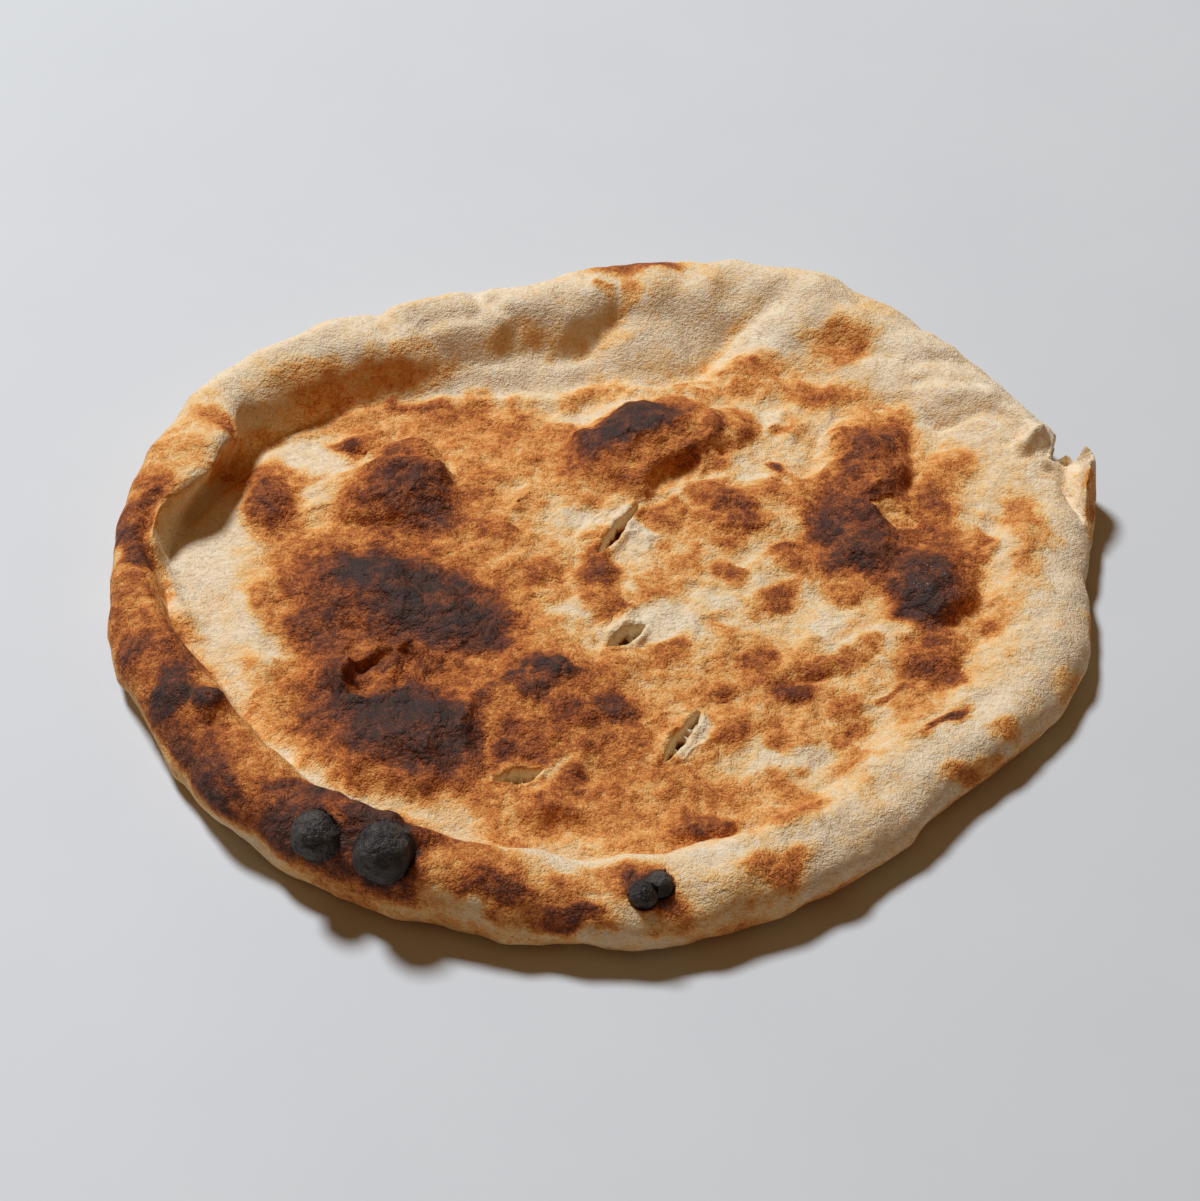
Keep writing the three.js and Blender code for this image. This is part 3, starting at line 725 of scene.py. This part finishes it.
def grow_blisters(clay):
    """Turns round patches of the rim into near spheres that stand on it, and returns where they are."""
    on_ball = np.zeros(len(clay.home))
    for number, (east, north, diameter, lean) in enumerate(BLISTERS):
        centre = place(east, north)
        near = clay.upper > 0.02
        gap = np.hypot(*(clay.home[:, :2] - centre).T)
        pick = np.argmin(np.where(near, gap, 1e9))
        root = clay.place[pick].copy()
        out = np.append(centre / np.hypot(*centre), 0)
        up = np.array([0, 0, 1.0]) + lean * out
        up /= np.linalg.norm(up)
        radius = diameter / 2
        foot = radius * BLISTER_FOOT
        skirt = foot * BLISTER_SKIRT
        offset = clay.place - root
        height = offset @ up
        side = offset - height[:, None] * up
        spread = np.linalg.norm(side, axis=1)
        t = spread / foot
        heading = side / np.maximum(spread, 1e-6)[:, None]
        middle = root - up * radius * BLISTER_SINK
        theta = np.clip(t, 0, 1) * BLISTER_WRAP
        ball = middle + radius * (np.sin(theta)[:, None] * heading + np.cos(theta)[:, None] * up)
        neck = radius * math.sin(BLISTER_WRAP)
        pulled = towards(neck, skirt, (np.clip(t, 1, BLISTER_SKIRT) - 1) / (BLISTER_SKIRT - 1))
        outside = clay.place + heading * (pulled - spread)[:, None]
        reached = (abs(height) < radius * 1.6) & (clay.normal[:, 2] > -0.5)
        target = np.where((t < 1)[:, None], ball, outside)
        clay.place = np.where(((t < BLISTER_SKIRT) & reached)[:, None], target, clay.place)
        crackle = 0.7 * swell(clay.place, 6, 25 + number) + 0.3 * swell(clay.place, 2.2, 35 + number)
        bulge = np.where((t < 1) & reached, crackle, 0)
        clay.place += (clay.place - middle) / radius * bulge[:, None]
        on_ball = np.maximum(on_ball, np.where(reached, smooth(1.12, 0.98, t), 0))
    return on_ball


def lift_lip(clay):
    """The crust torn free beside the tear stands up along the edge as a thin lip."""
    foot_end = place(*LIP_FOOT)
    run = place(*LIP_TIP) - foot_end
    length = np.hypot(*run)
    run /= length
    offset = clay.home[:, :2] - foot_end
    along = offset @ run / length
    across = offset @ np.array([run[1], -run[0]])
    rise = smooth(0, 0.95, along) * smooth(1.06, 0.99, along)
    ragged = 1 + 0.30 * swell(clay.home, 6, 41)
    curl = across - 1.1 * swell(clay.home, 7, 42)
    clay.lift(LIP_RISE * rise * bell(curl, 1.5) * ragged)
    clay.place[:, 0] += LIP_LEAN * rise * smooth(-4, 1, across) * smooth(-0.6, 0.1, clay.normal[:, 2])
    clay.lift(-LIP_GROOVE * rise * bell(across + 5.0, 2.6))


def tear_rim(clay):
    """The tear through the rim beside the lip: points inside the wedge draw back to its root."""
    root = place(*TEAR_ROOT)
    heading = np.array([math.cos(TEAR_TURN), math.sin(TEAR_TURN)])
    sideways = np.array([-heading[1], heading[0]])
    offset = clay.home[:, :2] - root
    out, side = offset @ heading, offset @ sideways
    half = TEAR_HALF_WIDTH + TEAR_SPREAD * out
    inside = (out > 0) & (abs(side) < half)
    clay.place[inside, :2] = root + 0.25 * side[inside, None] * sideways
    near = bell(np.clip(abs(side) - half, 0, None), 2.0) * smooth(-3, 1, out)
    clay.place[:, 2] += np.where(inside, 0, -1.2 * near * clay.upper)
    return np.where(inside, 1.0, near * 0.6)


def roughen(clay):
    """Blisters, wrinkles and dimples too many to place one by one."""
    home = clay.home
    clay.lift(1.1 * swell(home, 42, 51) + 0.7 * swell(home, 21, 52))
    plate = clay.plate
    clay.lift(plate * (2.0 * clay.small + 0.9 * clay.tiny))
    fine = rough(home, 6, 71, 3)
    clay.swell_out((0.14 + 0.40 * plate) * fine * clay.upper + 0.15 * fine * (1 - clay.upper))
    clay.swell_out(0.9 * swell(home, 15, 94) * (1 - plate) * clay.upper)
    for size, seed, depth in ((17, 81, 0.9), (9, 83, 0.6)):
        wrinkle = 1 - abs(swell(clay.loose, size, seed)) * 1.4
        clay.lift(depth * (0.2 + 0.8 * plate) * (np.clip(wrinkle, 0, 1) ** 5 - 0.15))
    on_rim = smooth(1.25, 0.9, clay.inset / ring_value(ROLL, clay.angle)) * smooth(0.2, 3, home[:, 2])
    clay.swell_out(on_rim * (1.5 * swell(home, 24, 91) + 1.1 * swell(home, 13, 92) + 0.4 * swell(home, 6, 93)))


# ------------------------------------------------------------------ baking, and painted shade, painted from the places above


def brown_spots(clay, toast, spots, blotch, freckle):
    """Darkens the oval spots to their depth of bake or of painted shade, where the crust isn't darker already.
    """
    for east, north, long, wide, turn, depth in spots:
        share = patch_share(clay, east, north, long, wide, turn)
        weight = smooth(1.35, 0.50, share + 0.20 * blotch + 0.06 * freckle)
        target = depth * (0.94 - 0.05 * (wide < NARROW)) + 0.11 * blotch + 0.06 * freckle
        toast = towards(toast, np.maximum(target, toast), weight * clay.upper)
    return toast


def bake(clay, masks):
    """How dark the crust baked, from 0 for raw dough to 1 for charcoal, plus painted shade in slits, wall foot
    and creases.
    """
    home = clay.home
    blotch = rough(home, 11, 101, 3)
    freckle = rough(home, 4.5, 107, 2)
    toast = 0.15 + 0.07 * rough(home, 30, 102, 2) + 0.06 * blotch + 0.06 * clay.small
    pads = smooth(0.10, 0.75, 0.8 * clay.small + 0.35 * clay.tiny + 0.16 * blotch)
    gold = 0.25 + 0.27 * pads + 0.07 * blotch + 0.03 * freckle + 0.07 * swell(home, 45, 103)
    toast = towards(toast, gold, clay.plate)
    toast = brown_spots(clay, toast, GOLDEN_TOP, blotch, freckle)
    for spot in PALE_TOP:
        share = patch_share(clay, *spot)
        toast = towards(toast, 0.13 + 0.07 * blotch, smooth(1.35, 0.6, share + 0.2 * blotch) * 0.85)
    toast = brown_spots(clay, toast, TOASTED_TOP + TOASTED_AND_SHADED_RIM, blotch, freckle)
    for _, path, steepness in BROKEN_BUBBLES:
        gap, where = path_distance(clay.strayed(0.3), path)
        foot = smooth(-steepness * 0.4, -steepness - 0.8, gap) * smooth(-9, -4.5, gap)
        foot *= between_ends(where, 0.12) * clay.upper * (toast > 0.4)
        toast = towards(toast, 0.40 + 0.08 * blotch, 0.65 * foot)
    slit = masks["slit"]
    toast = towards(toast, 0.12, smooth(0, 0.4, slit))
    # Painted shade: deep inside the slits the crust is painted dark brown, where shade falls in the gap; the
    # pale crumb walls above are its own colour.
    painted_slit_shade = smooth(0.45, 0.85, slit + 0.30 * swell(home, 2.4, 108))
    toast = towards(toast, 0.84, painted_slit_shade * smooth(0.2, 0.4, slit))
    toast = towards(toast, 0.70 - 0.12 * swell(home, 3, 104), masks["pit"] * 0.8)
    toast = towards(toast, 0.44 + 0.03 * freckle, masks["chip"])
    toast = towards(np.minimum(toast, 0.98), 1.1, masks["ball"])
    toast = towards(toast, 0.10, masks["tear"] * 0.8)
    below = 0.30 + 0.22 * rough(home, 22, 105, 3) + 0.25 * pimples(home, 24, 106)
    return toast * clay.upper + below * (1 - clay.upper)


# ------------------------------------------------------------------ building the mesh


def refine(bm, zones):
    """Splits the faces inside each zone as many times as it says, for crisper detail there."""
    for times, (centre, reach) in zones:
        for _ in range(times):
            edges = [
                e
                for e in bm.edges
                if all((v.co.x - centre[0]) ** 2 + (v.co.y - centre[1]) ** 2 < reach**2 for v in e.verts)
                and min(v.co.z for v in e.verts) > FINE_ABOVE
            ]
            bmesh.ops.subdivide_edges(bm, edges=edges, cuts=1, use_grid_fill=True)


def fine_zones():
    """How many times to split, and the middle and reach of each zone."""
    zones = [(2, (place(east, north), length / 2 + 1.5)) for east, north, length, *_ in SLITS]
    zones += [(1, (place(east, north), diameter * 0.75)) for east, north, diameter, _ in BLISTERS]
    zones += [(1, (place(east, north), reach)) for east, north, reach in FINE_PLACES]
    return zones


def read_numbers(items, name, kind=np.float32, width=1):
    """One number, or a row of them, from each of a mesh's points, faces or corners."""
    numbers = np.empty(len(items) * width, kind)
    items.foreach_get(name, numbers)
    return numbers.reshape(-1, width).astype(float) if width > 1 else numbers


def paint_points(mesh, name, values):
    mesh.attributes.new(name, "FLOAT", "POINT").data.foreach_set("value", values.astype(np.float32))


def bare_mesh():
    """The bare loaf as a mesh, with finer faces where the detail is."""
    points, quads, triangles, spread, underside_from = smooth_loaf()
    mesh = bpy.data.meshes.new("pita_skin")
    mesh.from_pydata(points.tolist(), [], quads + triangles)
    paint_points(mesh, "spread_u", spread[:, 0])
    paint_points(mesh, "spread_v", spread[:, 1])
    underneath = np.zeros(len(mesh.polygons), np.int32)
    underneath[underside_from:] = 1
    mesh.attributes.new("underneath", "INT", "FACE").data.foreach_set("value", underneath)
    bm = bmesh.new()
    bm.from_mesh(mesh)
    bmesh.ops.recalc_face_normals(bm, faces=bm.faces)
    refine(bm, fine_zones())
    bm.to_mesh(mesh)
    bm.free()
    mesh.update()
    return mesh


def sculpt(clay):
    """Shapes the skin, and returns how much each point is in each of the small features."""
    raise_bubbles(clay, KNOBS + BUBBLES)
    narrow_marks = [mark for mark in TOASTED_TOP if mark[3] < NARROW]
    raise_bubbles(clay, [(*oval, MARK_RISE * oval[3] * depth) for *oval, depth in narrow_marks])
    fold_skin(clay)
    raise_broken_bubbles(clay)
    roughen(clay)
    curl_fold(clay)
    masks = {"pit": tear_blister(clay), "chip": peel_flake(clay), "slit": cut_slits(clay)}
    masks["ball"] = grow_blisters(clay)
    lift_lip(clay)
    masks["tear"] = tear_rim(clay)
    base = clay.home[:, 2] < 0.01
    dimples = 0.5 * np.clip(rough(clay.home, 26, 111, 2) - 0.1, 0, 1)
    clay.place[base, 2] = dimples[base]
    clay.place[:, 2] = np.maximum(clay.place[:, 2], 0)
    return masks


def build_bread():
    mesh = bare_mesh()
    home = read_numbers(mesh.vertices, "co", width=3)
    clay = Clay(home, read_numbers(mesh.vertex_normals, "vector", width=3))
    masks = sculpt(clay)
    mesh.vertices.foreach_set("co", (clay.place * MM).astype(np.float32).ravel())

    slit = masks["slit"]
    wet = np.min([patch_share(clay, *spot) for spot in WET_PLACES], axis=0)
    paint_points(mesh, "toast", bake(clay, masks))
    paint_points(mesh, "crumb", smooth(0, 0.2, slit) * smooth(0.6, 0.35, slit) + masks["tear"] * 0.3)
    paint_points(mesh, "wet", smooth(1.1, 0.5, wet) * clay.upper)
    lay_out(mesh, home)
    mesh.update()
    mesh.set_sharp_from_angle(angle=math.radians(75))
    bread = bpy.data.objects.new("pita", mesh)
    bpy.context.scene.collection.objects.link(bread)
    return bread


def lay_out(mesh, home):
    """The map for baked textures: the top, down to its tucked edge, is one disc and the underside another."""
    corners = read_numbers(mesh.loops, "vertex_index", np.int32)
    disc = [read_numbers(mesh.attributes[name].data, "value") for name in ("spread_u", "spread_v")]
    spread = np.stack(disc, axis=1)
    faces = read_numbers(mesh.attributes["underneath"].data, "value", np.int32)
    under = np.repeat(faces, read_numbers(mesh.polygons, "loop_total", np.int32)).astype(bool)
    top_disc = 0.425 + 0.42 * spread / (TOP_RINGS + SIDE_RINGS + TUCK_RINGS)
    under_disc = 0.845 + 0.15 * home[:, :2] / HALF
    layer = mesh.uv_layers.new(name="OFBake")
    uv = np.where(under[:, None], under_disc[corners], top_disc[corners])
    layer.data.foreach_set("uv", uv.astype(np.float32).ravel())
    for name in ("spread_u", "spread_v", "underneath"):
        mesh.attributes.remove(mesh.attributes[name])


# ------------------------------------------------------------------ finishes


def srgb(red, green, blue):
    """A colour given as 0-255 screen values, as the linear colour that shaders take."""
    parts = [v / 255 for v in (red, green, blue)]
    return tuple(v / 12.92 if v <= 0.04045 else ((v + 0.055) / 1.055) ** 2.4 for v in parts) + (1.0,)


class Value:
    """A shader socket that adds, subtracts, multiplies and so on like a number."""

    def __init__(self, finish, socket):
        self.finish, self.socket = finish, socket

    def maths(self, operation, *terms):
        return self.finish.node("ShaderNodeMath", {"operation": operation}, dict(enumerate(terms)))

    def __add__(self, other):
        return self.maths("ADD", self, other)

    def __sub__(self, other):
        return self.maths("SUBTRACT", self, other)

    def __rsub__(self, other):
        return self.maths("SUBTRACT", other, self)

    def __mul__(self, other):
        return self.maths("MULTIPLY", self, other)

    __radd__, __rmul__ = __add__, __mul__

    def between(self, low, high):
        """0 at low and 1 at high, clamped, with a soft step between."""
        inputs = {"Value": self, "From Min": low, "From Max": high}
        return self.finish.node("ShaderNodeMapRange", {"interpolation_type": "SMOOTHSTEP"}, inputs)


class Finish:
    """A material whose nodes are added one by one."""

    def __init__(self, name):
        self.material = bpy.data.materials.new(name)
        self.material.use_nodes = True
        self.tree = self.material.node_tree
        self.shader = self.tree.nodes["Principled BSDF"]
        self.grain = self.node("ShaderNodeTexCoord", {}, {}, "Object")

    def node(self, kind, settings, inputs, output=0):
        made = self.tree.nodes.new(kind)
        for key, value in settings.items():
            if key == "stops":
                self.set_stops(made.color_ramp, value)
            else:
                setattr(made, key, value)
        for key, value in inputs.items():
            self.feed(made.inputs[key], value)
        return Value(self, made.outputs[output])

    def feed(self, socket, value):
        if isinstance(value, Value):
            self.tree.links.new(value.socket, socket)
        else:
            socket.default_value = value

    @staticmethod
    def set_stops(ramp, stops):
        while len(ramp.elements) < len(stops):
            ramp.elements.new(0.5)
        for element, (position, colour) in zip(ramp.elements, stops):
            element.position, element.color = position, colour

    def painted(self, name):
        return self.node("ShaderNodeAttribute", {"attribute_name": name}, {}, "Fac")

    def noise(self, size, detail=2.0, rough=0.5):
        """Noise from 0 to 1 with swells size metres apart."""
        inputs = {"Vector": self.grain, "Scale": 1 / size, "Detail": detail, "Roughness": rough}
        return self.node("ShaderNodeTexNoise", {}, inputs)

    def speckle(self, size, detail):
        """Noise stretched to run all the way from 0 to 1."""
        return self.noise(size, detail, 0.6).between(0.30, 0.70)

    def cells(self, size, feature="F1"):
        inputs = {"Vector": self.grain, "Scale": 1 / size}
        return self.node("ShaderNodeTexVoronoi", {"feature": feature}, inputs, "Distance")

    def blend(self, share, first, second, mode="MIX"):
        settings = {"data_type": "RGBA", "blend_type": mode}
        return self.node("ShaderNodeMix", settings, {0: share, 6: first, 7: second}, 2)

    def ramp(self, value, stops):
        return self.node("ShaderNodeValToRGB", {"stops": stops}, {"Fac": value})

    def bump(self, height, distance, strength=1.0, normal=None):
        inputs = {"Height": height, "Distance": distance, "Strength": strength}
        if normal is not None:
            inputs["Normal"] = normal
        return self.node("ShaderNodeBump", {}, inputs)


# Colours of the crust by depth of bake, which also carries the painted shade.
BAKED_COLOURS = [
    (0.00, srgb(246, 226, 198)),
    (0.15, srgb(240, 215, 178)),
    (0.29, srgb(242, 196, 132)),
    (0.42, srgb(233, 163, 88)),
    (0.55, srgb(203, 122, 57)),
    (0.68, srgb(155, 84, 42)),
    (0.80, srgb(108, 60, 39)),
    (0.92, srgb(78, 49, 40)),
    (1.00, srgb(62, 47, 42)),
]
CINDER = srgb(44, 40, 38)
ASH = srgb(84, 78, 73)
ROSY = srgb(206, 140, 92)
FLOUR = srgb(246, 232, 210)
DINGY = srgb(182, 148, 112)
CRUMB = srgb(238, 218, 180)
BRAN = srgb(120, 76, 46)

# Patches, spots, grain and sand in the crust: size in metres and how much finer detail each has.
SPECKLES = [(0.0075, 3), (0.0030, 3), (0.0011, 2), (0.0005, 1)]


def crust_colour(crust, toast, browned, charred, speckles):
    patches, spots, grain, sand = speckles
    broken = (patches - 0.5) * 0.13 + (spots - 0.5) * 0.12 + (grain - 0.5) * 0.09 + (sand - 0.5) * 0.13
    baked = toast + broken * (0.45 + browned * 0.65 - charred * 0.8)
    colour = crust.ramp(baked, BAKED_COLOURS)
    cinder = crust.blend(crust.speckle(0.005, 3), CINDER, ASH)
    colour = crust.blend(toast.between(0.98, 1.08), colour, cinder)
    rosy = crust.speckle(0.012, 2) * toast.between(0.35, 0.6) * (1 - toast.between(0.75, 0.95))
    colour = crust.blend(rosy * 0.22, colour, ROSY, "MULTIPLY")
    dusted = crust.speckle(0.0035, 3).between(0.45, 0.9) * (1 - browned)
    colour = crust.blend(dusted * 0.30, colour, FLOUR)
    dingy = crust.speckle(0.0016, 3).between(0.55, 0.95) * (1 - browned)
    colour = crust.blend(dingy * 0.36, colour, DINGY)
    colour = crust.blend(crust.painted("crumb") * 0.8, colour, CRUMB)
    bran = crust.cells(0.0046).between(0.12, 0.05) * crust.speckle(0.006, 1).between(0.55, 0.75)
    return crust.blend(bran * (1 - toast.between(0.3, 0.7)) * 0.55, colour, BRAN)


def crust_finish():
    """Floury dough, golden crust and charcoal, by how dark each place baked, plus painted shade in slits, wall
    foot and creases.
    """
    crust = Finish("baked_crust")
    toast = crust.painted("toast")
    browned, charred = toast.between(0.10, 0.40), toast.between(0.96, 1.06)
    speckles = [crust.speckle(size, detail) for size, detail in SPECKLES]
    patches, spots, grain, sand = speckles
    crust.feed(crust.shader.inputs["Base Color"], crust_colour(crust, toast, browned, charred, speckles))

    greasy = crust.painted("wet") * crust.speckle(0.004, 2).between(0.40, 0.65)
    dull = 0.82 - toast.between(0.6, 1.0) * 0.24 - charred * 0.14 - greasy * 0.58
    crust.feed(crust.shader.inputs["Roughness"], dull + (spots - 0.5) * 0.12)

    pores = crust.cells(0.0017, "SMOOTH_F1")
    leather = crust.cells(0.0030, "SMOOTH_F1")
    fine = grain * 0.22 + sand * 0.16 + pores * (0.12 + toast.between(0.4, 0.8) * 0.45)
    broad = (spots * 0.5 + patches * 0.4) * (0.14 + browned * 0.8)
    relief = crust.bump(broad + leather * toast.between(0.45, 0.8) * 0.7, 0.0011, 0.8)
    crust.feed(crust.shader.inputs["Normal"], crust.bump(fine, 0.0009, 0.9, relief))
    crust.shader.inputs["Subsurface Weight"].default_value = 0.08
    crust.shader.inputs["Subsurface Radius"].default_value = (1.0, 0.5, 0.25)
    crust.shader.inputs["Subsurface Scale"].default_value = 0.003
    crust.shader.inputs["Specular IOR Level"].default_value = 0.22
    return crust.material


def table_finish():
    table = Finish("pale_table")
    mottle = table.noise(0.05, 3)
    colour = table.blend(mottle, srgb(206, 207, 209), srgb(211, 212, 213))
    table.feed(table.shader.inputs["Base Color"], colour)
    table.shader.inputs["Roughness"].default_value = 0.6
    return table.material


# ------------------------------------------------------------------ table, camera and light


TABLE_WIDTH = 18.0
TABLE_THICKNESS = 0.02


def build_table():
    """A wide flat top whose far side is out of view."""
    bm = bmesh.new()
    bmesh.ops.create_cube(bm, size=1)
    bmesh.ops.scale(bm, verts=bm.verts, vec=(TABLE_WIDTH, TABLE_WIDTH, TABLE_THICKNESS))
    bmesh.ops.translate(bm, verts=bm.verts, vec=(0, 0, -TABLE_THICKNESS / 2))
    mesh = bpy.data.meshes.new("table")
    bm.to_mesh(mesh)
    bm.free()
    mesh.materials.append(table_finish())
    table = bpy.data.objects.new("table", mesh)
    bpy.context.scene.collection.objects.link(table)


CAMERA_TARGET = Vector((-3.5, -13.6, 10.0)) * MM
CAMERA_DISTANCE = 0.9
CAMERA_ELEVATION = math.radians(45)
FRAME_WIDTH = 36.0  # of the camera's sensor, millimetres
FIELD = 0.356  # metres of the bread's plane across the frame's width


def build_camera():
    data = bpy.data.cameras.new("camera")
    data.sensor_fit = "HORIZONTAL"
    data.sensor_width = FRAME_WIDTH
    data.lens = FRAME_WIDTH * CAMERA_DISTANCE / FIELD
    camera = bpy.data.objects.new("camera", data)
    back = Vector((0, -math.cos(CAMERA_ELEVATION), math.sin(CAMERA_ELEVATION)))
    camera.location = CAMERA_TARGET + back * CAMERA_DISTANCE
    camera.rotation_euler = (-back).to_track_quat("-Z", "Y").to_euler()
    bpy.context.scene.collection.objects.link(camera)
    bpy.context.scene.camera = camera


WINDOW_PLACE = Vector((-1.36, 1.90, 3.24))
WINDOW_SIZE = 0.85
WINDOW_POWER = 176
WINDOW_COLOUR = (0.86, 0.93, 1.0)
BOUNCE_COLOUR = (1.0, 0.58, 0.24, 1)
BOUNCE_STRENGTH = 0.14


def build_light():
    """Cool light from a window at the back left, and a little warm light from all round."""
    data = bpy.data.lights.new("window", "AREA")
    data.shape = "DISK"
    data.size = WINDOW_SIZE
    data.energy = WINDOW_POWER
    data.color = WINDOW_COLOUR
    light = bpy.data.objects.new("window", data)
    light.location = WINDOW_PLACE
    light.rotation_euler = (-WINDOW_PLACE).to_track_quat("-Z", "Y").to_euler()
    bpy.context.scene.collection.objects.link(light)
    world = bpy.data.worlds.new("studio")
    world.use_nodes = True
    bounce = world.node_tree.nodes["Background"]
    bounce.inputs["Color"].default_value = BOUNCE_COLOUR
    bounce.inputs["Strength"].default_value = BOUNCE_STRENGTH
    bpy.context.scene.world = world
    bpy.context.scene.view_settings.view_transform = "Standard"


def main():
    build_camera()
    bread = build_bread()
    bread.data.materials.append(crust_finish())
    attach(bread, "root")
    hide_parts(BREAD)
    build_table()
    build_light()


main()
